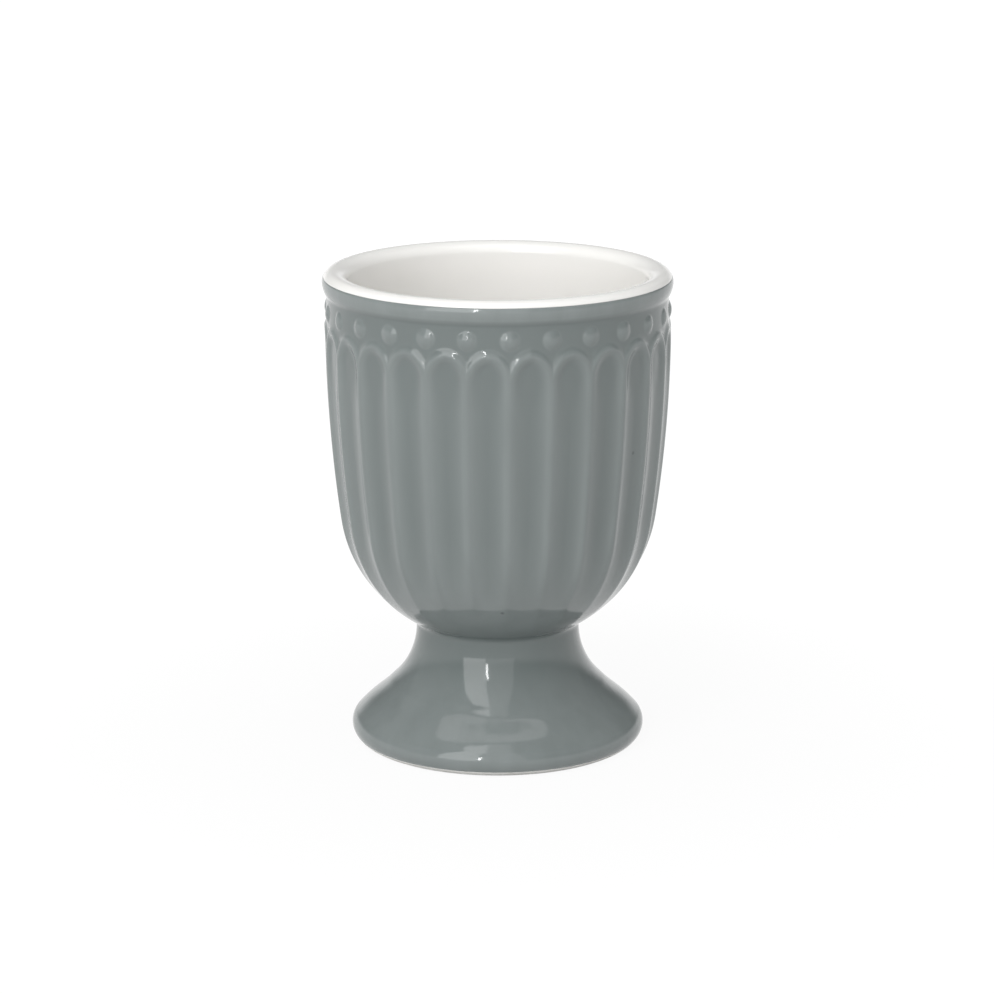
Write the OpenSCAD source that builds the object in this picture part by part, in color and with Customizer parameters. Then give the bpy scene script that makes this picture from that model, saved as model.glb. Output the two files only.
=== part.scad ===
// Footed egg cup in glazed stoneware: a fluted, beaded bowl on a flared, hollow foot.
// Sizes are those of the glazed, finished cup. The clay lies one glaze thickness inside them,
// and under the flutes it lies the depth of the flutes deeper: the grey coat holds the relief.
// The cup stands on the table at z = 0, its axis is Z, and its front faces -Y.

/* [Cup] */
// Height from the table to the top of the lip
cup_h = 65; // [60:0.5:71]
// Outer diameter of the lip
rim_d = 47; // [45:0.5:51]
// Thickness of the fully rounded lip
lip_w = 2.9; // [2.5:0.1:3.4]
// Radius of the curve under the lip
lip_under_r = 2.9; // [2.6:0.1:3.3]
// How far the lip stands out past the wall
lip_out = 0.25; // [0.15:0.05:0.5]

/* [Bowl] */
// Drop from the top of the lip to where the wall stands upright
wall_drop = 8.2; // [7:0.1:10]
// Radius of the long curve of the wall
wall_bend_r = 180; // [150:5:240]
// Radius of the curve of the belly
belly_r = 20; // [18.5:0.5:21.5]
// Radius of the fillet where the bowl runs into the neck
neck_bend_r = 1.2; // [0.8:0.1:3]
// Thickness of the floor above the neck
floor_t = 4.5; // [4:0.5:8]
// Radius of the curve between the floor and the wall inside
floor_bend_r = 17.5; // [15:0.5:18]

/* [Bead row] */
// Drop from the top of the lip to the middle of the shallow cove that holds the beads
cove_drop = 4.2; // [3.9:0.1:4.4]
// Depth of the cove
cove_depth = 0.3; // [0.2:0.05:0.35]
// Radius of the cove across
cove_r = 6; // [5:0.5:6.5]
// Diameter of each bead
bead_d = 2.4; // [2:0.1:2.6]
// Height of each bead over the cove
bead_rise = 0.4; // [0.3:0.02:0.5]
// Drop from the top of the lip to the middle of the beads
bead_drop = 5.2; // [4.9:0.1:5.4]

/* [Flutes] */
// Number of flutes, with a ridge and a bead between each two
flute_count = 26; // [20:1:30]
// Depth of a flute under its ridges
flute_depth = 0.55; // [0.45:0.05:0.7]
// Width of the ridge left between two flutes at the top
ridge_w = 1; // [0.8:0.1:1.6]
// Drop from the top of the lip to the round top of the flutes
arch_drop = 7.6; // [7:0.1:8.4]
// Turn of the first ridge and bead from the front, in degrees
pattern_turn = 3.9; // [0:0.1:13.8]

/* [Foot] */
// Diameter of the neck at its narrowest
neck_d = 22.2; // [20:0.2:24]
// Height of the neck over the table
neck_z = 15.9; // [14:0.1:17]
// Radius of the flare under the neck
flare_r = 10.8; // [8.5:0.1:12]
// Outer diameter of the foot
foot_d = 40; // [38:0.5:46]
// Radius of the foot's round edge
foot_edge_r = 2.1; // [1.8:0.05:2.4]
// How much of that edge the table cuts off, so that it stands on a flat
foot_edge_cut = 0.05; // [0.02:0.01:0.2]
// Width of the flat ring that the foot stands on
ring_w = 2.3; // [1.6:0.1:3]
// Thickness of the clay over the hollow of the foot
crown_t = 3.6; // [3:0.1:5]

/* [Glaze and slip] */
// Thickness of the glaze
glaze_t = 0.3; // [0.2:0.05:0.4]
// Drop from the top of the lip to the line where white glaze meets grey
line_drop = 0.8; // [0.6:0.05:1.1]
// Height of the bare clay band along the bottom of the foot
bare_h = 0.8; // [0.5:0.05:1]
// Thickness of the slip that joins the bowl to the foot
slip_t = 0.4; // [0.3:0.05:0.6]

/* [Hidden] */

// Faces that only cut run on past the solid by this much
overrun = 1;
// Neighbouring curves overlap by this much, so that they cross and don't only touch
seam = 0.01;
// Segments in a full turn: of round shapes, of long flat curves, of a flute and of a bead
$fn = 156;
long_fn = 480;
flute_fn = 72;
bead_fn = 24;

rim_r = rim_d / 2;
wall_r = rim_r - lip_out;
neck_r = neck_d / 2;
foot_r = foot_d / 2;

// Heights over the table
wall_z = cup_h - wall_drop;
line_z = cup_h - line_drop;
joint_z = neck_z - slip_t;

// Lip: a round top over a curve that runs in under it
lip_r = lip_w / 2;
lip_at = [rim_r - lip_r, cup_h - lip_r];
lip_under_at = [rim_r - lip_under_r, lip_at.y];

// The point where two circles meet, on the left of the way from the first to the second
function circles_meet(a, ra, b, rb) =
    let (away = norm(b - a),
         along = (away * away + ra * ra - rb * rb) / (2 * away),
         side = sqrt(ra * ra - along * along),
         way = (b - a) / away)
    a + along * way + side * [-way.y, way.x];
function way_to(a, b) = (b - a) / norm(b - a);
function turn_of(way) = atan2(way.y, way.x);
function way_at(turn) = [cos(turn), sin(turn)];

// Outline of the bowl: the wall, the belly inside it, and the fillet outside at the neck
wall_at = [wall_r - wall_bend_r, wall_z];
neck_at = [neck_r + neck_bend_r, neck_z];
belly_at = circles_meet(wall_at, wall_bend_r - belly_r, neck_at, belly_r + neck_bend_r);
belly_way = way_to(wall_at, belly_at);
neck_way = way_to(belly_at, neck_at);

// Outline of the foot: the flare outside, the round edge inside, and the cone that touches both
flare_at = [neck_r + flare_r, neck_z];
edge_at = [foot_r - foot_edge_r, foot_edge_r - foot_edge_cut];
cone_way = way_at(turn_of(edge_at - flare_at)
                  - acos((flare_r + foot_edge_r) / norm(edge_at - flare_at)));

// Inside of the bowl: its wall touches the lip, and its floor curve touches the wall
inner_r = norm(lip_at - wall_at) - lip_r;
inner_way = way_to(wall_at, lip_at);
floor_z = neck_z + floor_t;
floor_y = floor_z + floor_bend_r - wall_z;
floor_at = wall_at + [sqrt(pow(inner_r - floor_bend_r, 2) - pow(floor_y, 2)), floor_y];
floor_way = way_to(wall_at, floor_at);

// Hollow of the foot: a dome that springs from the inside of the standing ring
hollow_r = edge_at.x - ring_w;
hollow_h = joint_z - crown_t;
dome_r = (hollow_r * hollow_r + hollow_h * hollow_h) / (2 * hollow_h);
dome_at = [0, hollow_h - dome_r];

// Cove and beads
cove_at = [wall_r - cove_depth + cove_r, cup_h - cove_drop];
bead_z = cup_h - bead_drop;
bead_ground_r = cove_at.x - sqrt(pow(cove_r, 2) - pow(bead_z - cove_at.y, 2));
bead_ball_r = (pow(bead_d / 2, 2) + pow(bead_rise, 2)) / (2 * bead_rise);
bead_ball_at = [bead_ground_r + bead_rise - bead_ball_r, 0, bead_z];
bead_base = bead_ball_r - bead_rise - glaze_t / 2;

// Flutes: round-bottomed grooves along the wall, which run out where the belly turns away
pitch_turn = 360 / flute_count;
flute_half_w = (2 * PI * wall_r / flute_count - ridge_w) / 2;
flute_rise = flute_depth - wall_r + sqrt(pow(wall_r, 2) - pow(flute_half_w, 2));
flute_r = (pow(flute_half_w, 2) + pow(flute_rise, 2)) / (2 * flute_rise);
flute_out = flute_depth * 3;
flute_way_r = wall_bend_r + flute_r - flute_depth;
flute_top_turn = asin((cup_h - arch_drop - flute_half_w - wall_z) / wall_bend_r);
flute_low_turn = asin((neck_z + belly_r / 3 - wall_z) / wall_bend_r);

// The clay of the bowl is set back under the flutes, from here down to the neck
bed_z = cup_h - (arch_drop + bead_drop) / 2;
bed_inset = glaze_t + flute_depth;

// A flat strip between two heights, from the axis out
module strip(z0, z1) {
    translate([0, z0]) square([rim_d, z1 - z0]);
}

// The part of a disc in the strip between two heights
module disc_strip(at, r, z0, z1) {
    intersection() {
        translate(at) circle(r, $fn = r > rim_d ? long_fn : $fn);
        strip(z0, z1);
    }
}

// A strip from the axis out to a circle that hollows its outer side
module hollowed_strip(at, r, z0, z1) {
    difference() {
        translate([0, z0]) square([at.x, z1 - z0]);
        translate(at) circle(r);
    }
}

// Half outline of the bowl, filled in to the axis. The inset is 0 for the glazed face
module bowl_outline(inset) {
    neck_top = belly_at + (belly_r - inset) * neck_way;
    belly_top = wall_at + (wall_bend_r - inset) * belly_way;
    hollowed_strip(neck_at, neck_bend_r + inset, neck_z, neck_top.y);
    disc_strip(belly_at, belly_r - inset + seam, neck_z, belly_at.y);
    difference() {
        disc_strip(wall_at, wall_bend_r - inset, belly_top.y, lip_at.y);
        translate(cove_at) circle(cove_r + inset);
    }
    disc_strip(lip_under_at, lip_under_r - inset, cove_at.y, lip_at.y);
    translate([0, lip_at.y]) square([lip_at.x, lip_r - inset]);
    disc_strip(lip_at, lip_r - inset, lip_at.y, cup_h);
}

// Half outline of the foot, filled in to the axis
module foot_outline(inset) {
    cone_top = flare_at + (flare_r + inset - seam) * cone_way;
    cone_end = edge_at - (foot_edge_r - inset + seam) * cone_way;
    run_on = way_to(cone_end, cone_top) * overrun;
    hollowed_strip(flare_at, flare_r + inset, cone_top.y, neck_z);
    polygon([[0, cone_end.y], cone_end, cone_top + run_on, [0, cone_top.y + run_on.y]]);
    square([edge_at.x, cone_end.y]);
    disc_strip(edge_at, foot_edge_r - inset + 2 * seam, 0, foot_edge_r * 2);
}

// Half outline of the space inside the bowl, up through the rounded mouth
module cavity_outline(inset) {
    wall_top = wall_at + (inner_r + inset) * inner_way;
    floor_top = wall_at + (inner_r + inset) * floor_way;
    disc_strip(wall_at, inner_r + inset + seam, floor_top.y, cup_h);
    translate([0, floor_z - inset]) square([floor_at.x, floor_top.y - floor_z + inset]);
    disc_strip(floor_at, floor_bend_r + inset + 2 * seam, floor_z - inset, floor_at.y);
    difference() {
        translate([0, wall_top.y]) square([lip_at.x, cup_h + overrun - wall_top.y]);
        translate(lip_at) circle(lip_r - inset);
    }
}

// Half outline of the hollow under the foot
module hollow_outline(inset) {
    disc_strip(dome_at, dome_r + inset, -overrun, cup_h);
}

// Half outline of the bowl's clay, filled in to the axis
module clay_outline() {
    intersection() {
        bowl_outline(glaze_t);
        strip(bed_z, cup_h);
    }
    intersection() {
        bowl_outline(bed_inset);
        strip(neck_z, bed_z);
    }
}

// Half outline of the foot's clay, filled in to the axis, with the slip on top
module foot_clay_outline() {
    intersection() {
        foot_outline(glaze_t);
        strip(bare_h, neck_z);
    }
    intersection() {
        foot_outline(0);
        strip(0, bare_h);
    }
}

// Half section of the bowl's clay
module bowl_section() {
    difference() {
        clay_outline();
        cavity_outline(glaze_t);
    }
}

// Half section of the grey coat, before its flutes and beads are worked
module coat_section() {
    difference() {
        intersection() {
            union() {
                bowl_outline(0);
                foot_outline(0);
            }
            strip(bare_h, line_z);
        }
        clay_outline();
        foot_clay_outline();
    }
}

// Cross-section of a flute cutter, cut flat outside the wall
module flute_section(r) {
    intersection() {
        circle(r, $fn = flute_fn);
        translate([-r - overrun, -r]) square([flute_depth + flute_out + overrun, 2 * r]);
    }
}

// Places a flute cutter, drawn in the plane of the axis, at the flute of this number
module at_flute(number) {
    rotate(pattern_turn - 90 + (number - 1 / 2) * pitch_turn) rotate([90, 0, 0]) children();
}

// The round top of a flute, a cap of a ball
module flute_top(number) {
    at_flute(number)
        translate(wall_at + flute_way_r * way_at(flute_top_turn))
            rotate(flute_top_turn) rotate([0, 90, 0])
                rotate_extrude($fn = flute_fn) intersection() {
                    rotate(90) flute_section(flute_r + 2 * seam);
                    translate([0, -rim_d]) square([rim_d, 2 * rim_d]);
                }
}

// The long part of a flute, down the wall and out over the belly
module flute_run(number) {
    at_flute(number)
        translate(wall_at) rotate(flute_low_turn)
            rotate_extrude(angle = flute_top_turn - flute_low_turn, $fn = long_fn)
                translate([flute_way_r, 0]) flute_section(flute_r);
}

// The shape that is given, with this many flutes cut one after the other
module fluted(number) {
    if (number == 0) children();
    else difference() {
        fluted(number - 1) children();
        flute_top(number);
        flute_run(number);
    }
}

// All the beads, each a cap of a ball with its flat side in the coat
module beads() {
    for (i = [1 : flute_count])
        rotate(pattern_turn - 90 + i * pitch_turn)
            translate(bead_ball_at) rotate([0, 90, 0])
                rotate_extrude($fn = bead_fn) intersection() {
                    circle(bead_ball_r);
                    translate([0, bead_base]) square(bead_ball_r);
                }
}

// The clay of the bowl
module bowl() {
    color("gainsboro") rotate_extrude() bowl_section();
}

// The clay of the foot, hollow underneath, with its bare standing ring
module foot() {
    color("gainsboro") rotate_extrude() difference() {
        intersection() {
            foot_clay_outline();
            strip(0, joint_z);
        }
        intersection() {
            hollow_outline(glaze_t);
            strip(bare_h, joint_z);
        }
        intersection() {
            hollow_outline(0);
            strip(-overrun, bare_h);
        }
    }
}

// The slip between the bowl and the foot
module joint_slip() {
    color("tan") rotate_extrude() intersection() {
        foot_outline(glaze_t);
        strip(joint_z, neck_z);
    }
}

// The white glaze inside the bowl and over its lip
module lining_glaze() {
    color("white") rotate_extrude() difference() {
        intersection() {
            bowl_outline(0);
            union() {
                cavity_outline(glaze_t);
                strip(line_z, cup_h);
            }
        }
        cavity_outline(0);
        bowl_section();
    }
}

// The grey coat over the outside, with the flutes and beads worked in it
module outer_glaze() {
    color("slategray") fluted(flute_count) {
        rotate_extrude() coat_section();
        beads();
    }
}

// The glaze in the hollow of the foot
module underside_glaze() {
    color("lightslategray") rotate_extrude() difference() {
        intersection() {
            hollow_outline(glaze_t);
            strip(bare_h, joint_z);
        }
        hollow_outline(0);
    }
}

bowl();
foot();
joint_slip();
lining_glaze();
outer_glaze();
underside_glaze();
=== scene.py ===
"""Looks of a footed egg cup: grey glazed outside with flutes, arches and beads, white inside.

All lengths in the tables are millimetres. The cup stands on z = 0 and its front faces -Y.
"""

import bmesh
import bpy
import numpy as np
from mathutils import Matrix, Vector


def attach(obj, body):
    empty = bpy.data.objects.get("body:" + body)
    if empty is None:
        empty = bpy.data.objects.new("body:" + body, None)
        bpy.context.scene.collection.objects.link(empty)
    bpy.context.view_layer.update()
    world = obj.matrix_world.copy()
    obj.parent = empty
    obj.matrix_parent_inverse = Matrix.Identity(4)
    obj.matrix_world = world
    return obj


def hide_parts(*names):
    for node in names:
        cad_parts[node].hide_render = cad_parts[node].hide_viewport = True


MM = 0.001
TURN = 2 * np.pi

# Cup sizes, the same as those of the solids
CUP_H = 65.0
RIM_R = 23.5
LIP_R = 1.45
LIP_UNDER_R = 2.9
WALL_R = 23.25
WALL_Z = CUP_H - 8.2
WALL_BEND_R = 180.0
BELLY_R = 20.0
NECK_BEND_R = 1.2
NECK_R = 11.1
NECK_Z = 15.9
FLARE_R = 10.8
FOOT_R = 20.0
FOOT_EDGE_R = 2.1
FOOT_EDGE_CUT = 0.05
SLOPE_SWELL = 0.09
RING_W = 2.3
CROWN_T = 4.0
FLOOR_T = 4.5
FLOOR_BEND_R = 17.5
GLAZE_T = 0.3
LINE_Z = CUP_H - 0.8
BARE_H = 0.8
# How far the thick white glaze of the lip stands in over the inner wall, and how deep down
LIP_ROLL_IN = 0.5
LIP_ROLL_H = 8.0

# Relief of the grey side
FLUTES = 26
PATTERN_TURN = 3.9
FLUTE_DEPTH = 0.55
RIDGE_W = 1.6
CREST_W = 0.7
CREST_SHARE = 0.3
RIM_W = 0.95
RIDGE_SPREAD_Z = (55.0, 49.0)
FLUTE_FADE = (17.0, 34.0)
ARCH_SPRING_Z = 53.9
ARCH_RISE = 3.9
ARCH_RIM_W = 0.6
COVE_DEPTH = 0.28
COVE_TOP_Z = 60.9
COVE_BLEND = 0.16
BEAD_Z = 59.8
BEAD_R = 1.3
BEAD_RISE = 0.4
BEAD_BLEND = 0.12
BEAD_NEAR = 1.25
BED_TOP_Z = 58.6
# Height over which the lip's curve takes over from the cove, and how near the lip's middle
COVE_TOP_SPAN = 0.4
LIP_TUCK = 1.0
# The relief stands square to the wall under this height, and level above it
SQUARE_BELOW_Z = 50.0

# Share of the darker tone, from 0 where the glaze is thinnest on the lip, through pooled glaze, to
# 1 in the painted shade round the neck
CREST_POOL = 0.1
PLAIN_POOL = 0.3
FLUTE_POOL = 0.86
# Heights where the painted shade round the neck, under the bowl, begins, is darkest and ends, and
# where the lip's thin glaze does
NECK_SHADE = (6.5, 15.2, 21.0)
LIP_POOL_END_Z = 62.6
LIP_POOL_SPAN = 0.8
# The pool starts at this share of a bead's radius and is full after the second share
BEAD_POOL_FROM = 0.75
BEAD_POOL_SPAN = 0.45

# Meshes: rows as (from, to, step), steps round the axis, points in an arc
COAT_ROWS = ((LINE_Z, 58.6, 0.13), (58.6, 54.5, 0.13), (54.5, 30.0, 0.7), (30.0, 18.0, 0.35),
             (18.0, 15.0, 0.1), (15.0, 3.6, 0.2), (3.6, BARE_H, 0.1))
COAT_BACK_ROWS = ((BARE_H, 15.0, 0.8), (15.0, 60.0, 1.5), (60.0, LINE_Z, 0.8))
STEPS_A_FLUTE = 48
SHELL_STEPS = 312
HOLLOW_STEPS = 208
ARC_POINTS = 40
DOME_POINTS = 60
# The lining's hidden back: how thick it is as a share of the glaze, and where it starts
LINING_SHARE = 0.8
LINING_BACK_Z = CUP_H - 2.5
LINING_CUT_Z = CUP_H - 3.0
LINING_FLOOR_R = 18.0
LINING_STEP = ((RIM_R - 2.4, CUP_H - 2.6), (RIM_R - 0.6, LINE_Z - 0.02))
# The foot's clay: tops of its two sides, its rows, and its depth under the glaze as a share
CLAY_TOP_Z = 13.5
CLAY_HOLLOW_TOP_Z = 11.0
CLAY_ROW = 0.6
RING_ROW = 0.08
CLAY_UNDER = 1.35
# Points this near the axis are one point, in metres, and no distance is under TINY
AXIS_NEAR = 1e-7
TINY = 1e-6

# Tones of the glazes and the clay
GREY_THIN = (0.222, 0.248, 0.245, 1)
# The darker grey stands for pooled glaze and for painted shade round the neck
GREY_POOL_AND_SHADE = (0.132, 0.155, 0.152, 1)
GREY_CLOUD = (0.145, 0.166, 0.163, 1)
GREY_SPECK = (0.07, 0.08, 0.08, 1)
WHITE_INSIDE = (0.868, 0.857, 0.835, 1)
WHITE_LIP = (0.815, 0.81, 0.79, 1)
WHITE_CLOUD = (0.84, 0.83, 0.80, 1)
WHITE_SPECK = (0.3, 0.26, 0.2, 1)
CLAY = (0.72, 0.715, 0.69, 1)
CLAY_CLOUD = (0.6, 0.59, 0.57, 1)
CLAY_SPECK = (0.25, 0.2, 0.15, 1)
# Where the white thins on the lip, and its soft, wavering line with the grey, in metres
LIP_THIN_Z = (0.0615, 0.0645)
LINE_WAVER = 0.0002
LINE_SOFT_Z = (0.0642, 0.06438)
LINE_FROM_R = (0.0222, 0.0226)
LINE_GREY = 0.85

# Camera of the photograph
CAMERA_AT = (0.0, -0.4563, 0.14985)
CAMERA_DOWN = 14.297
CAMERA_LENS = 125.56
CAMERA_SHIFT = -0.0007

# Soft panels: shape, place and the point it faces in metres, size, glow (1 is white)
PANELS = (
    ("pane_left", "RECTANGLE", (-0.54, -0.8, 1.35), (-0.54, 0.0, 1.35), (0.62, 2.6), 2.75),
    ("pane_right", "RECTANGLE", (0.05, -0.8, 1.35), (0.05, 0.0, 1.35), (0.53, 2.6), 0.82),
    ("side_left", "RECTANGLE", (-1.1, 0.1, 0.5), (0.0, 0.0, 0.03), (1.2, 0.9), 0.16),
    ("side_right", "RECTANGLE", (1.1, 0.1, 0.5), (0.0, 0.0, 0.03), (1.2, 0.9), 0.12),
    ("overhead", "ELLIPSE", (-0.08, -0.02, 1.15), (-0.08, -0.02, 0.0), (1.2, 0.58), 1.2),
    ("behind", "RECTANGLE", (0.0, 1.2, 0.58), (0.0, 0.0, 0.03), (1.2, 0.9), 0.2),
    ("spark", "ELLIPSE", (-0.2, -0.78, 0.32), (0.0, 0.0, 0.03), (0.03, 0.36), 30.0),
)
# The studio's light, and what its mirrors show, level and overhead, with heights of the change
WORLD_FILL = 0.9
WORLD_FILL_UP = 0.47
WORLD_FILL_RISE = (0.1, 0.7)
WORLD_SEEN = 1.0
WORLD_SEEN_UP = 0.06
WORLD_SEEN_RISE = (0.0, 0.22)
# The floor: its own grey, its shown white, the share of white near the cup and away from it
FLOOR_GREY = (0.55, 0.55, 0.55, 1)
FLOOR_GLOW = 1.05
FLOOR_WHITE = (0.88, 1.0)
FLOOR_WHITE_AT = (0.03, 0.14)
FLOOR_HALF = 3.0
FLOOR_DROP = 0.00002


# --- Outlines -------------------------------------------------------------------------------

def unit(way):
    """The same way, one long."""
    return way / np.hypot(*way)


def circles_meet(a, ra, b, rb):
    """The point where two circles meet, on the left of the way from the first to the second."""
    away = np.hypot(*(b - a))
    along = (away * away + ra * ra - rb * rb) / (2 * away)
    side = np.sqrt(ra * ra - along * along)
    way = (b - a) / away
    return a + along * way + side * np.array([-way[1], way[0]])


LIP_AT = np.array([RIM_R - LIP_R, CUP_H - LIP_R])
LIP_UNDER_AT = np.array([RIM_R - LIP_UNDER_R, LIP_AT[1]])
WALL_AT = np.array([WALL_R - WALL_BEND_R, WALL_Z])
NECK_AT = np.array([NECK_R + NECK_BEND_R, NECK_Z])
BELLY_AT = circles_meet(WALL_AT, WALL_BEND_R - BELLY_R, NECK_AT, BELLY_R + NECK_BEND_R)
FLARE_AT = np.array([NECK_R + FLARE_R, NECK_Z])
EDGE_AT = np.array([FOOT_R - FOOT_EDGE_R, FOOT_EDGE_R - FOOT_EDGE_CUT])
HOLLOW_R = EDGE_AT[0] - RING_W
HOLLOW_H = NECK_Z - CROWN_T
DOME_R = (HOLLOW_R ** 2 + HOLLOW_H ** 2) / (2 * HOLLOW_H)


def arc(at, r, turns):
    """Points of a circle at these turns."""
    return at + r * np.stack([np.cos(turns), np.sin(turns)], 1)


def side_of(at, r, z, sign):
    """Radius of the right (1) or left (-1) side of a circle at these heights."""
    return at[0] + sign * np.sqrt(np.maximum(r * r - (z - at[1]) ** 2, 0.0))


def slope_swell(along):
    """Offset of the slope under the flare, at shares of its length from its top: it is
    steepest at its ends and flattest in the middle."""
    along = np.clip(along, 0.0, 1.0)
    return -SLOPE_SWELL * np.sin(TURN * along)


def outer_radius(z):
    """Radius of the cup outside at these heights, over the ridges and without beads."""
    belly_top = (WALL_AT + WALL_BEND_R * unit(BELLY_AT - WALL_AT))[1]
    neck_top = (BELLY_AT + BELLY_R * unit(NECK_AT - BELLY_AT))[1]
    to_edge = EDGE_AT - FLARE_AT
    turn = np.arctan2(to_edge[1], to_edge[0])
    turn -= np.arccos((FLARE_R + FOOT_EDGE_R) / np.hypot(*to_edge))
    cone_way = np.array([np.cos(turn), np.sin(turn)])
    cone_top = FLARE_AT + FLARE_R * cone_way
    cone_end = EDGE_AT - FOOT_EDGE_R * cone_way
    cone = np.interp(z, [cone_end[1], cone_top[1]], [cone_end[0], cone_top[0]])
    cone += slope_swell((cone_top[1] - z) / (cone_top[1] - cone_end[1]))
    return np.select(
        [z < cone_end[1], z < cone_top[1], z < NECK_Z, z < neck_top, z < belly_top],
        [side_of(EDGE_AT, FOOT_EDGE_R, z, 1), cone, side_of(FLARE_AT, FLARE_R, z, -1),
         side_of(NECK_AT, NECK_BEND_R, z, -1), side_of(BELLY_AT, BELLY_R, z, 1)],
        side_of(WALL_AT, WALL_BEND_R, z, 1))


def heights(*spans):
    """Row heights from spans of (from, to, step)."""
    rows = []
    for start, stop, step in spans:
        rows.append(np.linspace(start, stop, max(2, round(abs(stop - start) / step)))[:-1])
    rows.append([spans[-1][1]])
    return np.concatenate(rows)


def smooth_step(x):
    """A soft rise from 0 to 1."""
    x = np.clip(x, 0.0, 1.0)
    return x * x * (3 - 2 * x)


def lining_outline():
    """Outline of the white glaze from the grey line, over the lip and down to the middle."""
    inner_r = np.hypot(*(LIP_AT - WALL_AT)) - LIP_R
    inner_way = unit(LIP_AT - WALL_AT)
    floor_z = NECK_Z + FLOOR_T
    floor_y = floor_z + FLOOR_BEND_R - WALL_Z
    floor_at = WALL_AT + np.array([np.sqrt((inner_r - FLOOR_BEND_R) ** 2 - floor_y ** 2), floor_y])
    floor_way = unit(floor_at - WALL_AT)
    start = np.arcsin((LINE_Z - LIP_AT[1]) / LIP_R)
    lip_in = np.arctan2(inner_way[1], inner_way[0]) + np.pi
    turns = np.linspace(start, lip_in, ARC_POINTS)
    lip = arc(LIP_AT, LIP_R, turns)
    wall_turns = np.linspace(np.arctan2(inner_way[1], inner_way[0]),
                             np.arctan2(floor_way[1], floor_way[0]), ARC_POINTS)
    wall = arc(WALL_AT, inner_r, wall_turns[1:])
    floor_turns = np.linspace(np.arctan2(floor_way[1], floor_way[0]), -np.pi / 2, ARC_POINTS)
    floor = arc(floor_at, FLOOR_BEND_R, floor_turns[1:])
    flat = np.linspace(floor_at[0], 0.0, 4)[1:, None] * [1, 0] + [0, floor_z]
    outline = np.concatenate([lip, wall, floor, flat])
    over = np.clip((LIP_AT[0] - outline[:, 0]) / LIP_R, 0, 1)
    down = smooth_step((lip[-1, 1] - outline[:, 1]) / LIP_ROLL_H)
    outline[:, 0] -= LIP_ROLL_IN * over * (1 - down)
    return outline


def dome_outline(inset):
    """Outline of the hollow under the foot, from the bare band up to the middle."""
    r = DOME_R + inset
    turn_low = np.arcsin((BARE_H - HOLLOW_H + DOME_R) / r)
    outline = arc(np.array([0.0, HOLLOW_H - DOME_R]), r,
                  np.linspace(turn_low, np.pi / 2, DOME_POINTS))
    outline[-1, 0] = 0.0
    return outline


# --- Relief ---------------------------------------------------------------------------------

def soft_max(a, b, blend):
    """The larger of two, with a fillet where they cross."""
    return 0.5 * (a + b + np.sqrt((a - b) ** 2 + blend ** 2))


def relief(z, turn):
    """How far the grey face lies outside the ridges' outline, and how deep the glaze pools."""
    pitch = TURN / FLUTES
    share = np.mod((turn + TURN / 4) / pitch - np.radians(PATTERN_TURN) / pitch, 1.0)
    r = outer_radius(z)
    half = r * pitch / 2
    across = (share - 0.5) * 2 * half
    scale = r / WALL_R
    # Distance inside the line of the ridges, which closes in an arch over each flute
    up = np.maximum(z - ARCH_SPRING_Z, 0.0)
    e = np.sqrt((across / half) ** 2 + (up / ARCH_RISE) ** 2)
    slope = np.sqrt((across / half ** 2) ** 2 + (up / ARCH_RISE ** 2) ** 2) / np.maximum(e, TINY)
    inside = np.minimum((1 - e) / np.maximum(slope, TINY), half)
    straight = half - np.abs(across)
    inside = np.where(z > ARCH_SPRING_Z, np.minimum(inside, half), straight)
    fade = smooth_step((z - FLUTE_FADE[0]) / (FLUTE_FADE[1] - FLUTE_FADE[0]))
    spread = smooth_step((z - RIDGE_SPREAD_Z[0]) / (RIDGE_SPREAD_Z[1] - RIDGE_SPREAD_Z[0]))
    ridge_w = (RIM_W + (RIDGE_W - RIM_W) * spread) * scale
    crest_w = (RIM_W + (CREST_W - RIM_W) * spread) * scale
    ridge = ((1 - CREST_SHARE) * np.exp(-(inside / ridge_w) ** 2)
             + CREST_SHARE * np.exp(-(inside / crest_w) ** 2))
    rim = np.exp(-(inside / ARCH_RIM_W) ** 2)
    lift = np.where(inside > 0, -FLUTE_DEPTH * fade * (1 - ridge), -COVE_DEPTH * (1 - rim))
    dark_share = np.where(inside > 0, fade * (1 - ridge), 1 - rim)
    # Beads over the ridges
    along = (np.mod(share + 0.5, 1.0) - 0.5) * 2 * half
    off = np.sqrt(along ** 2 + (z - BEAD_Z) ** 2)
    ball = (BEAD_R ** 2 + BEAD_RISE ** 2) / (2 * BEAD_RISE)
    cap = np.sqrt(np.maximum(ball ** 2 - off ** 2, 0)) - (ball - BEAD_RISE) - COVE_DEPTH
    bead = off < BEAD_R * BEAD_NEAR
    lift = np.where(bead, np.maximum(soft_max(lift, cap, BEAD_BLEND) - BEAD_BLEND / 2, lift), lift)
    round_bead = smooth_step((off / BEAD_R - BEAD_POOL_FROM) / BEAD_POOL_SPAN)
    dark_share = np.where(bead, np.minimum(dark_share, round_bead), dark_share)
    return lift, dark_share


def lip_radius(z):
    """Radius of the lip's round side, and of the curve that runs in under it."""
    return np.where(z > LIP_AT[1], side_of(LIP_AT, LIP_R, z, 1),
                    side_of(LIP_UNDER_AT, LIP_UNDER_R, z, 1))


# --- Meshes ---------------------------------------------------------------------------------

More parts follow.
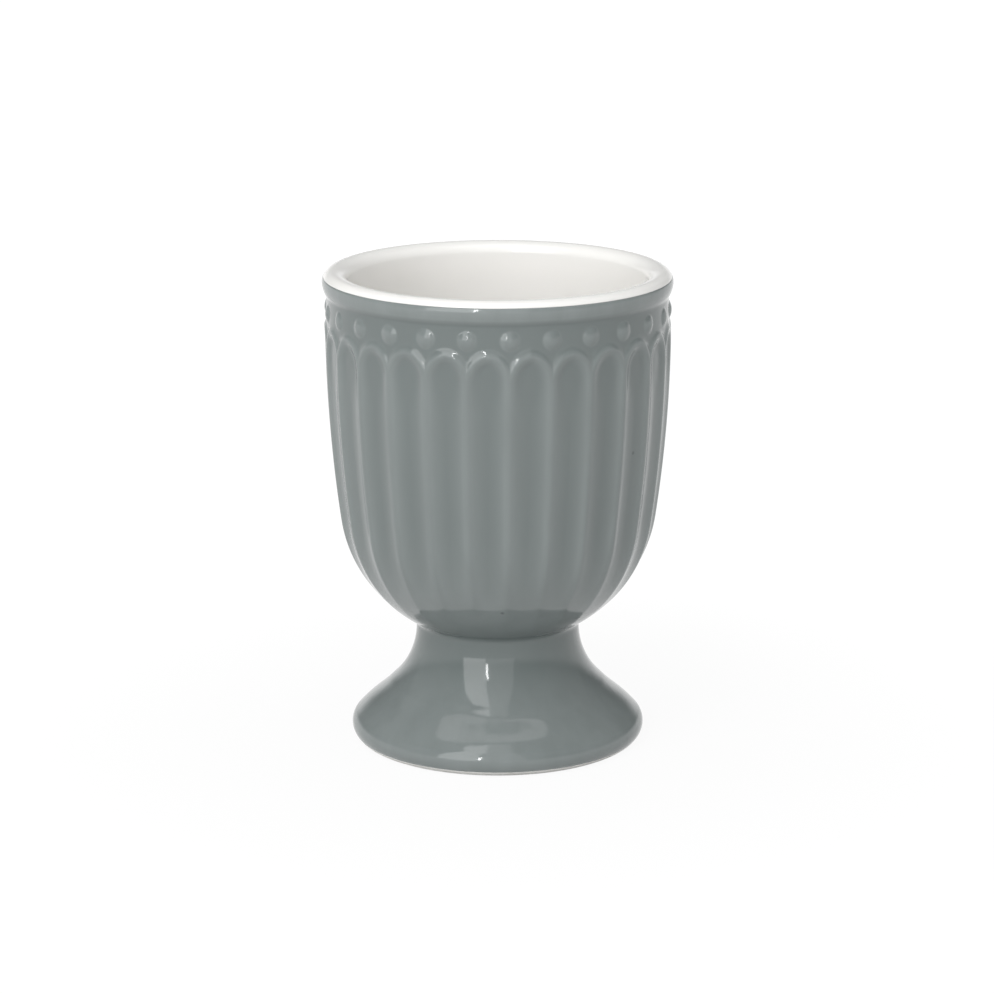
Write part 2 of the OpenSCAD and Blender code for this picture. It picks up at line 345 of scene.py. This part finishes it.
def make_object(name, points, faces, material, dark_share=None):
    """A smooth mesh of quads from points in millimetres, with the share of the darker tone (pooled
    glaze and painted shade) if given.
    """
    mesh = bpy.data.meshes.new(name)
    mesh.vertices.add(len(points))
    mesh.vertices.foreach_set("co", (np.asarray(points) * MM).astype(np.float32).ravel())
    loops = faces.ravel()
    starts = np.arange(0, loops.size, faces.shape[1])
    mesh.loops.add(loops.size)
    mesh.loops.foreach_set("vertex_index", loops.astype(np.int32))
    mesh.polygons.add(starts.size)
    mesh.polygons.foreach_set("loop_start", starts.astype(np.int32))
    mesh.update(calc_edges=True)
    mesh.validate()
    if dark_share is not None:
        layer = mesh.attributes.new("glaze_pool_and_neck_shade", "FLOAT", "POINT")
        layer.data.foreach_set("value", np.asarray(dark_share, np.float32).ravel())
    mesh.polygons.foreach_set("use_smooth", np.ones(len(mesh.polygons), bool))
    mesh.materials.append(material)
    obj = bpy.data.objects.new(name, mesh)
    bpy.context.collection.objects.link(obj)
    return obj


def ring_grid(radii, zs, turns):
    """Points of rows that go round the axis: radii is one row for each height."""
    return np.stack([radii * np.cos(turns), radii * np.sin(turns),
                     np.broadcast_to(zs[:, None], radii.shape)], 2).reshape(-1, 3)


def ring_faces(rows, steps):
    """Quads between rows and from the last row to the first, facing outward where the rows go
    downward outside."""
    j = np.arange(rows)[:, None]
    i = np.arange(steps)[None, :]
    nxt_j, nxt_i = (j + 1) % rows, (i + 1) % steps
    quad = np.stack([j * steps + i, nxt_j * steps + i,
                     nxt_j * steps + nxt_i, j * steps + nxt_i], 2)
    return quad.reshape(-1, 4)


def turned_shell(name, outline, steps, material):
    """A closed turned solid from a closed half section, which may touch the axis."""
    turns = np.arange(steps) * TURN / steps
    radii = np.broadcast_to(outline[:, :1], (len(outline), steps))
    points = ring_grid(radii, outline[:, 1], turns)
    made = make_object(name, points, ring_faces(len(outline), steps), material)
    shell = bmesh.new()
    shell.from_mesh(made.data)
    on_axis = [v for v in shell.verts if v.co.xy.length < AXIS_NEAR]
    bmesh.ops.remove_doubles(shell, verts=on_axis, dist=AXIS_NEAR)
    loose = [e for e in shell.edges if not e.link_faces]
    bmesh.ops.delete(shell, geom=loose, context="EDGES")
    bmesh.ops.recalc_face_normals(shell, faces=shell.faces)
    shell.to_mesh(made.data)
    shell.free()
    return made


def grey_coat(material):
    """The grey glaze: outside with its relief, inside a smooth face against the clay."""
    zs = heights(*COAT_ROWS)
    steps = FLUTES * STEPS_A_FLUTE
    turns = np.arange(steps) * TURN / steps
    grid_z = np.broadcast_to(zs[:, None], (len(zs), steps))
    lift, dark_share = relief(grid_z, np.broadcast_to(turns, grid_z.shape))
    wall = outer_radius(grid_z)
    # Below the fade the relief is nil, and over the cove the lip's curve takes over
    lift = np.where(grid_z < FLUTE_FADE[0], 0.0, lift)
    dark_share = CREST_POOL + (FLUTE_POOL - CREST_POOL) * dark_share
    dark_share = np.where(grid_z < FLUTE_FADE[0], PLAIN_POOL, dark_share)
    # Painted shade: the grey is darkened round the neck and the foot's top, where the bowl shades
    # them
    neck_shade = smooth_step((NECK_SHADE[2] - grid_z) / (NECK_SHADE[2] - NECK_SHADE[1]))
    neck_shade = neck_shade * smooth_step((grid_z - NECK_SHADE[0]) / (NECK_SHADE[1] - NECK_SHADE[0]))
    dark_share = np.maximum(dark_share, PLAIN_POOL + (1 - PLAIN_POOL) * neck_shade)
    slope = np.gradient(outer_radius(zs), zs)[:, None]
    lean = 1 / np.sqrt(1 + slope ** 2)
    body = wall + lift * lean
    near_lip = smooth_step((grid_z - COVE_TOP_Z) / COVE_TOP_SPAN)
    with_lip = soft_max(body, lip_radius(grid_z), COVE_BLEND)
    radii = body + (with_lip - body) * near_lip
    radii = np.where(grid_z > LIP_AT[1] - LIP_TUCK, np.minimum(radii, lip_radius(grid_z)), radii)
    dark_share = dark_share * np.clip((LIP_POOL_END_Z - grid_z) / LIP_POOL_SPAN, 0, 1)
    shift_z = lift * lean * -slope
    outside = ring_grid(radii, zs, turns)
    outside[:, 2] += (shift_z * (grid_z < SQUARE_BELOW_Z)).ravel()
    inner_z = heights(*COAT_BACK_ROWS)
    set_back = GLAZE_T + FLUTE_DEPTH * ((inner_z > NECK_Z) & (inner_z < BED_TOP_Z))
    inner_r = outer_radius(inner_z)
    inner_r = inner_r - set_back * np.sqrt(1 + np.gradient(inner_r, inner_z) ** 2)
    inner_r = np.maximum(inner_r, NECK_R - GLAZE_T - FLUTE_DEPTH)
    inside = ring_grid(np.broadcast_to(inner_r[:, None], (len(inner_z), steps)), inner_z, turns)
    points = np.concatenate([outside, inside])
    pool_and_neck_shade = np.concatenate([dark_share.ravel(), np.zeros(len(inside))])
    faces = ring_faces(len(zs) + len(inner_z), steps)
    return make_object("grey_coat", points, faces, material, pool_and_neck_shade)


def white_lining(material):
    """The white glaze over the lip and down the inside."""
    seen = lining_outline()
    behind = seen[::-1].copy()
    behind[:, 0] += GLAZE_T * LINING_SHARE * (behind[:, 1] < LINING_BACK_Z)
    behind[:, 1] -= GLAZE_T * (behind[:, 0] < LINING_FLOOR_R)
    behind[0, 0] = 0.0
    hidden = behind[behind[:, 1] < LINING_CUT_Z]
    outline = np.concatenate([seen, hidden, LINING_STEP])
    return turned_shell("white_lining", outline, SHELL_STEPS, material)


def hollow_coat(material):
    """The glaze in the hollow of the foot."""
    outline = np.concatenate([dome_outline(0)[::-1], dome_outline(GLAZE_T)])
    return turned_shell("hollow_coat", outline, HOLLOW_STEPS, material)


def bare_ring(material):
    """The foot's clay: bare along the standing ring, hidden by glaze above it."""
    low = EDGE_AT[0] + np.sqrt(FOOT_EDGE_R ** 2 - EDGE_AT[1] ** 2)
    edge_z = heights((BARE_H, 0.0, RING_ROW))
    side = np.stack([side_of(EDGE_AT, FOOT_EDGE_R, edge_z, 1), edge_z], 1)
    hollow_low = np.sqrt(DOME_R ** 2 - (DOME_R - HOLLOW_H) ** 2)
    hollow_top = np.sqrt(DOME_R ** 2 - (BARE_H + DOME_R - HOLLOW_H) ** 2)
    bottom = np.array([[(low + hollow_low) / 2, 0.0], [hollow_low, 0.0], [hollow_top, BARE_H]])
    zs = heights((BARE_H, CLAY_HOLLOW_TOP_Z, CLAY_ROW))
    hollow = np.stack([np.sqrt(np.maximum((DOME_R + GLAZE_T) ** 2
                                          - (zs + DOME_R - HOLLOW_H) ** 2, 0.2)), zs], 1)
    up = heights((CLAY_TOP_Z, BARE_H, CLAY_ROW))
    shell = np.stack([outer_radius(up) - GLAZE_T * CLAY_UNDER, up], 1)
    outline = np.concatenate([shell, side, bottom, hollow])
    return turned_shell("bare_ring", outline, SHELL_STEPS, material)


# --- Materials ------------------------------------------------------------------------------

def material_tree(name):
    """A new material with a shader on its output."""
    material = bpy.data.materials.new(name)
    material.use_nodes = True
    tree = material.node_tree
    tree.nodes.clear()
    out = tree.nodes.new("ShaderNodeOutputMaterial")
    shader = tree.nodes.new("ShaderNodeBsdfPrincipled")
    tree.links.new(shader.outputs["BSDF"], out.inputs["Surface"])
    return material, tree, shader


def ranged(tree, value, given, wanted):
    """A value carried smoothly from one range to another."""
    node = tree.nodes.new("ShaderNodeMapRange")
    node.interpolation_type = "SMOOTHSTEP"
    node.inputs["From Min"].default_value, node.inputs["From Max"].default_value = given
    node.inputs["To Min"].default_value, node.inputs["To Max"].default_value = wanted
    tree.links.new(value, node.inputs["Value"])
    return node.outputs["Result"]


def glaze_body_group():
    """Fired glaze: soft clouds in the colour, sparse dark specks and a faint uneven face."""
    group = bpy.data.node_groups.new("fired_glaze", "ShaderNodeTree")
    face = group.interface
    for name, kind, value in (
            ("Colour", "NodeSocketColor", (0.2, 0.2, 0.2, 1)),
            ("Cloud Colour", "NodeSocketColor", (0.2, 0.2, 0.2, 1)),
            ("Cloud Size", "NodeSocketFloat", 60.0),
            ("Cloud Amount", "NodeSocketFloat", 0.3),
            ("Cloud Squeeze", "NodeSocketVector", (1.0, 1.0, 1.0)),
            ("Speck Colour", "NodeSocketColor", (0.05, 0.05, 0.05, 1)),
            ("Speck Density", "NodeSocketFloat", 180.0),
            ("Speck Size", "NodeSocketFloat", 0.03),
            ("Speck Amount", "NodeSocketFloat", 0.5),
            ("Ripple Size", "NodeSocketFloat", 300.0)):
        socket = face.new_socket(name=name, in_out="INPUT", socket_type=kind)
        socket.default_value = value
    face.new_socket(name="Colour", in_out="OUTPUT", socket_type="NodeSocketColor")
    face.new_socket(name="Height", in_out="OUTPUT", socket_type="NodeSocketFloat")
    nodes, links = group.nodes, group.links
    given = nodes.new("NodeGroupInput")
    result = nodes.new("NodeGroupOutput")
    place = nodes.new("ShaderNodeTexCoord")

    clouds = nodes.new("ShaderNodeTexNoise")
    clouds.inputs["Detail"].default_value = 4.0
    clouds.inputs["Roughness"].default_value = 0.55
    drawn = nodes.new("ShaderNodeVectorMath")
    drawn.operation = "MULTIPLY"
    links.new(place.outputs["Object"], drawn.inputs[0])
    links.new(given.outputs["Cloud Squeeze"], drawn.inputs[1])
    links.new(drawn.outputs["Vector"], clouds.inputs["Vector"])
    links.new(given.outputs["Cloud Size"], clouds.inputs["Scale"])
    cloud_range = nodes.new("ShaderNodeMapRange")
    cloud_range.inputs["From Min"].default_value = 0.35
    cloud_range.inputs["From Max"].default_value = 0.65
    links.new(clouds.outputs["Fac"], cloud_range.inputs["Value"])
    cloud_share = nodes.new("ShaderNodeMath")
    cloud_share.operation = "MULTIPLY"
    links.new(cloud_range.outputs["Result"], cloud_share.inputs[0])
    links.new(given.outputs["Cloud Amount"], cloud_share.inputs[1])
    clouded = nodes.new("ShaderNodeMix")
    clouded.data_type = "RGBA"
    links.new(cloud_share.outputs[0], clouded.inputs["Factor"])
    links.new(given.outputs["Colour"], clouded.inputs[6])
    links.new(given.outputs["Cloud Colour"], clouded.inputs[7])

    cells = nodes.new("ShaderNodeTexVoronoi")
    links.new(place.outputs["Object"], cells.inputs["Vector"])
    links.new(given.outputs["Speck Density"], cells.inputs["Scale"])
    split = nodes.new("ShaderNodeSeparateColor")
    links.new(cells.outputs["Color"], split.inputs["Color"])
    reach = nodes.new("ShaderNodeMath")
    reach.operation = "MULTIPLY"
    links.new(given.outputs["Speck Size"], reach.inputs[0])
    links.new(split.outputs["Green"], reach.inputs[1])
    spot = nodes.new("ShaderNodeMapRange")
    spot.inputs["From Min"].default_value = 0.0
    spot.inputs["To Min"].default_value = 1.0
    spot.inputs["To Max"].default_value = 0.0
    links.new(cells.outputs["Distance"], spot.inputs["Value"])
    links.new(reach.outputs[0], spot.inputs["From Max"])
    kept = nodes.new("ShaderNodeMath")
    kept.operation = "LESS_THAN"
    kept.inputs[1].default_value = 0.35
    links.new(split.outputs["Red"], kept.inputs[0])
    speck = nodes.new("ShaderNodeMath")
    speck.operation = "MULTIPLY"
    links.new(spot.outputs[0], speck.inputs[0])
    links.new(kept.outputs[0], speck.inputs[1])
    speck_share = nodes.new("ShaderNodeMath")
    speck_share.operation = "MULTIPLY"
    links.new(speck.outputs[0], speck_share.inputs[0])
    links.new(given.outputs["Speck Amount"], speck_share.inputs[1])
    specked = nodes.new("ShaderNodeMix")
    specked.data_type = "RGBA"
    links.new(speck_share.outputs[0], specked.inputs["Factor"])
    links.new(clouded.outputs[2], specked.inputs[6])
    links.new(given.outputs["Speck Colour"], specked.inputs[7])

    ripple = nodes.new("ShaderNodeTexNoise")
    ripple.inputs["Detail"].default_value = 2.0
    links.new(place.outputs["Object"], ripple.inputs["Vector"])
    links.new(given.outputs["Ripple Size"], ripple.inputs["Scale"])
    links.new(specked.outputs[2], result.inputs["Colour"])
    pitted = nodes.new("ShaderNodeMath")
    pitted.operation = "SUBTRACT"
    links.new(ripple.outputs["Fac"], pitted.inputs[0])
    links.new(speck.outputs[0], pitted.inputs[1])
    links.new(pitted.outputs[0], result.inputs["Height"])
    return group


def place_glaze(tree, shader, group, values, bump):
    """The fired glaze group in a material, with its colour and its uneven face on the shader."""
    glaze = tree.nodes.new("ShaderNodeGroup")
    glaze.node_tree = group
    for name, value in values.items():
        glaze.inputs[name].default_value = value
    face = tree.nodes.new("ShaderNodeBump")
    face.inputs["Strength"].default_value = bump
    face.inputs["Distance"].default_value = 0.0002
    tree.links.new(glaze.outputs["Height"], face.inputs["Height"])
    tree.links.new(face.outputs["Normal"], shader.inputs["Normal"])
    tree.links.new(glaze.outputs["Colour"], shader.inputs["Base Color"])
    return glaze


def grey_glaze(group):
    """Glossy grey-green glaze, paler where it runs thin over an edge, darker where it pools and in
    the painted shade round the neck.
    """
    material, tree, shader = material_tree("grey_glaze")
    shader.inputs["Roughness"].default_value = 0.09
    shader.inputs["IOR"].default_value = 1.5
    # Share of the darker tone: pooled glaze, and painted shade round the neck
    dark_share = tree.nodes.new("ShaderNodeAttribute")
    dark_share.attribute_name = "glaze_pool_and_neck_shade"
    tone = tree.nodes.new("ShaderNodeMix")
    tone.data_type = "RGBA"
    tone.inputs[6].default_value = GREY_THIN
    tone.inputs[7].default_value = GREY_POOL_AND_SHADE
    tree.links.new(dark_share.outputs["Fac"], tone.inputs["Factor"])
    glaze = place_glaze(tree, shader, group, {
        "Cloud Colour": GREY_CLOUD, "Cloud Size": 300.0, "Cloud Amount": 0.28,
        "Cloud Squeeze": (1.0, 1.0, 0.22),
        "Speck Colour": GREY_SPECK, "Speck Density": 230.0, "Speck Size": 0.09,
        "Speck Amount": 0.9, "Ripple Size": 260.0}, 0.16)
    tree.links.new(tone.outputs[2], glaze.inputs["Colour"])
    return material


def white_glaze(group):
    """Glossy white glaze, whitest where it lies thick inside, greyer where it thins on the lip."""
    material, tree, shader = material_tree("white_glaze")
    shader.inputs["Roughness"].default_value = 0.1
    shader.inputs["IOR"].default_value = 1.5
    place = tree.nodes.new("ShaderNodeTexCoord")
    parts = tree.nodes.new("ShaderNodeSeparateXYZ")
    tree.links.new(place.outputs["Object"], parts.inputs["Vector"])
    tone = tree.nodes.new("ShaderNodeMix")
    tone.data_type = "RGBA"
    tone.inputs[6].default_value = WHITE_INSIDE
    tone.inputs[7].default_value = WHITE_LIP
    tree.links.new(ranged(tree, parts.outputs["Z"], LIP_THIN_Z, (0.0, 1.0)),
                   tone.inputs["Factor"])
    waver = tree.nodes.new("ShaderNodeTexNoise")
    waver.inputs["Scale"].default_value = 90.0
    tree.links.new(place.outputs["Object"], waver.inputs["Vector"])
    line = tree.nodes.new("ShaderNodeMath")
    line.operation = "MULTIPLY_ADD"
    line.inputs[1].default_value = LINE_WAVER
    tree.links.new(waver.outputs["Fac"], line.inputs[0])
    tree.links.new(parts.outputs["Z"], line.inputs[2])
    edged = tree.nodes.new("ShaderNodeMix")
    edged.data_type = "RGBA"
    edged.inputs[7].default_value = GREY_THIN
    flat = tree.nodes.new("ShaderNodeVectorMath")
    flat.operation = "MULTIPLY"
    flat.inputs[1].default_value = (1, 1, 0)
    tree.links.new(place.outputs["Object"], flat.inputs[0])
    reach = tree.nodes.new("ShaderNodeVectorMath")
    reach.operation = "LENGTH"
    tree.links.new(flat.outputs["Vector"], reach.inputs[0])
    both = tree.nodes.new("ShaderNodeMath")
    both.operation = "MULTIPLY"
    tree.links.new(ranged(tree, line.outputs[0], LINE_SOFT_Z, (LINE_GREY, 0.0)), both.inputs[0])
    tree.links.new(ranged(tree, reach.outputs["Value"], LINE_FROM_R, (0.0, 1.0)), both.inputs[1])
    tree.links.new(both.outputs[0], edged.inputs["Factor"])
    tree.links.new(tone.outputs[2], edged.inputs[6])
    glaze = place_glaze(tree, shader, group, {
        "Cloud Colour": WHITE_CLOUD, "Cloud Size": 45.0, "Cloud Amount": 0.5,
        "Speck Colour": WHITE_SPECK, "Speck Density": 120.0, "Speck Size": 0.04,
        "Speck Amount": 0.35, "Ripple Size": 180.0}, 0.05)
    tree.links.new(edged.outputs[2], glaze.inputs["Colour"])
    return material


def bare_clay(group):
    """Pale fired clay, grainy and dull."""
    material, tree, shader = material_tree("bare_clay")
    shader.inputs["Roughness"].default_value = 0.75
    place_glaze(tree, shader, group, {
        "Colour": CLAY, "Cloud Colour": CLAY_CLOUD,
        "Cloud Size": 400.0, "Cloud Amount": 0.5, "Speck Colour": CLAY_SPECK,
        "Speck Density": 900.0, "Speck Size": 0.3, "Speck Amount": 0.4,
        "Ripple Size": 2500.0}, 0.5)
    return material


# --- Stage ----------------------------------------------------------------------------------

def aim(obj, target):
    """Turn a lamp to face a point."""
    obj.rotation_euler = (Vector(target) - obj.location).to_track_quat("-Z", "Y").to_euler()


def add_camera():
    """The camera fitted to the photograph."""
    data = bpy.data.cameras.new("photo_camera")
    data.sensor_width = 36.0
    data.lens = CAMERA_LENS
    data.shift_x = CAMERA_SHIFT
    data.clip_start = 0.01
    camera = bpy.data.objects.new("photo_camera", data)
    camera.location = CAMERA_AT
    camera.rotation_euler = (np.radians(90 - CAMERA_DOWN), 0, 0)
    bpy.context.collection.objects.link(camera)
    bpy.context.scene.camera = camera


def add_softbox(name, shape, place, faces, size, glow):
    """A soft panel at a place, facing a point."""
    data = bpy.data.lights.new(name, "AREA")
    data.shape = shape
    data.size, data.size_y = size
    area = size[0] * size[1] * (np.pi / 4 if shape == "ELLIPSE" else 1.0)
    data.energy = glow * np.pi * area
    lamp = bpy.data.objects.new(name, data)
    lamp.location = place
    lamp.visible_camera = False
    bpy.context.collection.objects.link(lamp)
    aim(lamp, faces)


def add_floor():
    """A pale floor, shown white, that keeps the cup's shadow."""
    material = bpy.data.materials.new("pale_floor")
    material.use_nodes = True
    tree = material.node_tree
    tree.nodes.clear()
    out = tree.nodes.new("ShaderNodeOutputMaterial")
    lit = tree.nodes.new("ShaderNodeBsdfDiffuse")
    lit.inputs["Color"].default_value = FLOOR_GREY
    white = tree.nodes.new("ShaderNodeEmission")
    white.inputs["Color"].default_value = (1, 1, 1, 1)
    white.inputs["Strength"].default_value = FLOOR_GLOW
    shown = tree.nodes.new("ShaderNodeMixShader")
    place = tree.nodes.new("ShaderNodeTexCoord")
    away = tree.nodes.new("ShaderNodeVectorMath")
    away.operation = "LENGTH"
    tree.links.new(place.outputs["Object"], away.inputs[0])
    share = ranged(tree, away.outputs["Value"], FLOOR_WHITE_AT, FLOOR_WHITE)
    tree.links.new(share, shown.inputs["Fac"])
    tree.links.new(lit.outputs[0], shown.inputs[1])
    tree.links.new(white.outputs[0], shown.inputs[2])
    seen = seen_ray(tree)
    chosen = tree.nodes.new("ShaderNodeMixShader")
    tree.links.new(seen, chosen.inputs["Fac"])
    tree.links.new(lit.outputs[0], chosen.inputs[1])
    tree.links.new(shown.outputs[0], chosen.inputs[2])
    tree.links.new(chosen.outputs[0], out.inputs["Surface"])
    mesh = bpy.data.meshes.new("floor")
    half = FLOOR_HALF
    mesh.from_pydata([(-half, -half, 0), (half, -half, 0), (half, half, 0), (-half, half, 0)],
                     [], [(0, 1, 2, 3)])
    mesh.materials.append(material)
    floor = bpy.data.objects.new("floor", mesh)
    floor.location.z = -FLOOR_DROP
    bpy.context.collection.objects.link(floor)


def seen_ray(tree):
    """1 for a ray from the camera, a mirror or a glass, and 0 for one that only brings light."""
    path = tree.nodes.new("ShaderNodeLightPath")
    first = tree.nodes.new("ShaderNodeMath")
    first.operation = "MAXIMUM"
    both = tree.nodes.new("ShaderNodeMath")
    both.operation = "MAXIMUM"
    tree.links.new(path.outputs["Is Camera Ray"], first.inputs[0])
    tree.links.new(path.outputs["Is Glossy Ray"], first.inputs[1])
    tree.links.new(first.outputs[0], both.inputs[0])
    tree.links.new(path.outputs["Is Transmission Ray"], both.inputs[1])
    return both.outputs[0]


def add_world():
    """A white studio: fill light, and what a mirror or the camera sees, dimmer overhead."""
    world = bpy.data.worlds.new("studio")
    bpy.context.scene.world = world
    world.use_nodes = True
    tree = world.node_tree
    tree.nodes.clear()
    out = tree.nodes.new("ShaderNodeOutputWorld")
    way = tree.nodes.new("ShaderNodeTexCoord")
    parts = tree.nodes.new("ShaderNodeSeparateXYZ")
    tree.links.new(way.outputs["Generated"], parts.inputs["Vector"])
    fill = tree.nodes.new("ShaderNodeBackground")
    tree.links.new(ranged(tree, parts.outputs["Z"], WORLD_FILL_RISE, (WORLD_FILL, WORLD_FILL_UP)),
                   fill.inputs["Strength"])
    mirrored = tree.nodes.new("ShaderNodeBackground")
    tree.links.new(ranged(tree, parts.outputs["Z"], WORLD_SEEN_RISE, (WORLD_SEEN, WORLD_SEEN_UP)),
                   mirrored.inputs["Strength"])
    white = tree.nodes.new("ShaderNodeBackground")
    white.inputs["Strength"].default_value = 1.0
    for backdrop in (fill, mirrored, white):
        backdrop.inputs["Color"].default_value = (1, 1, 1, 1)
    path = tree.nodes.new("ShaderNodeLightPath")
    seen = tree.nodes.new("ShaderNodeMixShader")
    tree.links.new(path.outputs["Is Camera Ray"], seen.inputs["Fac"])
    tree.links.new(mirrored.outputs[0], seen.inputs[1])
    tree.links.new(white.outputs[0], seen.inputs[2])
    chosen = tree.nodes.new("ShaderNodeMixShader")
    tree.links.new(seen_ray(tree), chosen.inputs["Fac"])
    tree.links.new(fill.outputs[0], chosen.inputs[1])
    tree.links.new(seen.outputs[0], chosen.inputs[2])
    tree.links.new(chosen.outputs[0], out.inputs["Surface"])


# --- The scene ------------------------------------------------------------------------------

add_camera()
bpy.context.scene.view_settings.view_transform = "Standard"
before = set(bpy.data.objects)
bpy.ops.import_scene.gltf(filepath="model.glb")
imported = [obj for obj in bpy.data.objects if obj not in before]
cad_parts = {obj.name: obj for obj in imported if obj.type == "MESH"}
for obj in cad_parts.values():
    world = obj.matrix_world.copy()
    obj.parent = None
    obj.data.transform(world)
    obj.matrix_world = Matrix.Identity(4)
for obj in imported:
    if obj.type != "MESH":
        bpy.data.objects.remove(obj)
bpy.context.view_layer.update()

fired_glaze = glaze_body_group()
grey = grey_glaze(fired_glaze)
white = white_glaze(fired_glaze)
clay = bare_clay(fired_glaze)

for piece, node, slot in (
        (grey_coat(grey), "outer_glaze", "grey_glaze"),
        (white_lining(white), "lining_glaze", "white_glaze"),
        (hollow_coat(grey), "underside_glaze", "grey_glaze"),
        (bare_ring(clay), "foot", "clay")):
    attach(piece, "root")
    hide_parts(node)

for name in ("bowl", "joint_slip"):
    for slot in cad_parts[name].material_slots:
        slot.material = clay

add_floor()
add_world()
for panel in PANELS:
    add_softbox(*panel)
